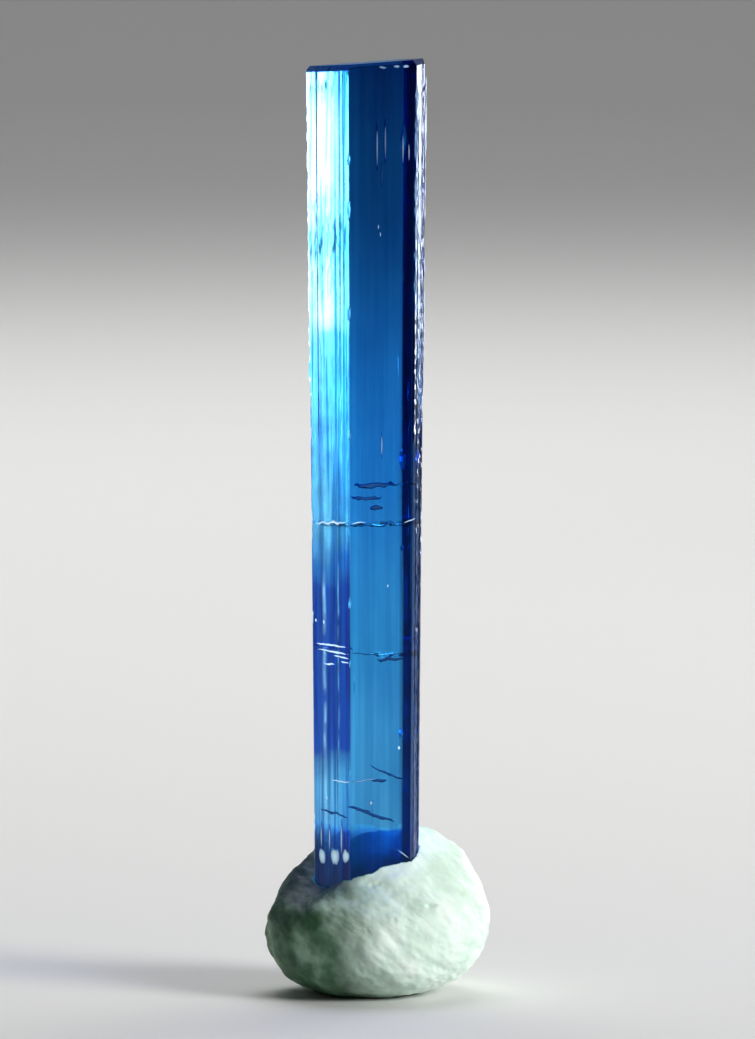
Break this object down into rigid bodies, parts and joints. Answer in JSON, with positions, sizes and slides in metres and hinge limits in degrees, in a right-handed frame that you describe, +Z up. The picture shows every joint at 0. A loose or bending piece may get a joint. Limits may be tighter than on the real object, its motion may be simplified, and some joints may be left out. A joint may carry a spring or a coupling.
{
  "type": "tourmaline crystal specimen",
  "caption": "Slim, striated, see-through blue tourmaline prism with a flat top, standing upright in a rounded lump of pale mounting putty.",
  "frame": {"origin": "on the surface that the lump rests on, under the middle of the whole specimen", "axes": "+Z up along the crystal, +X to the right along its broad front face, +Y away from that face"},
  "size_m": [0.012, 0.0107, 0.05],
  "materials": {
    "tourmaline": "clear, glossy, finely striated lengthwise, deep blue to navy",
    "putty": "soft satin, hand-pressed, whitish green"
  },
  "bodies": {
    "root": {"crystal": "tourmaline", "putty": "putty"}
  },
  "joints": []
}
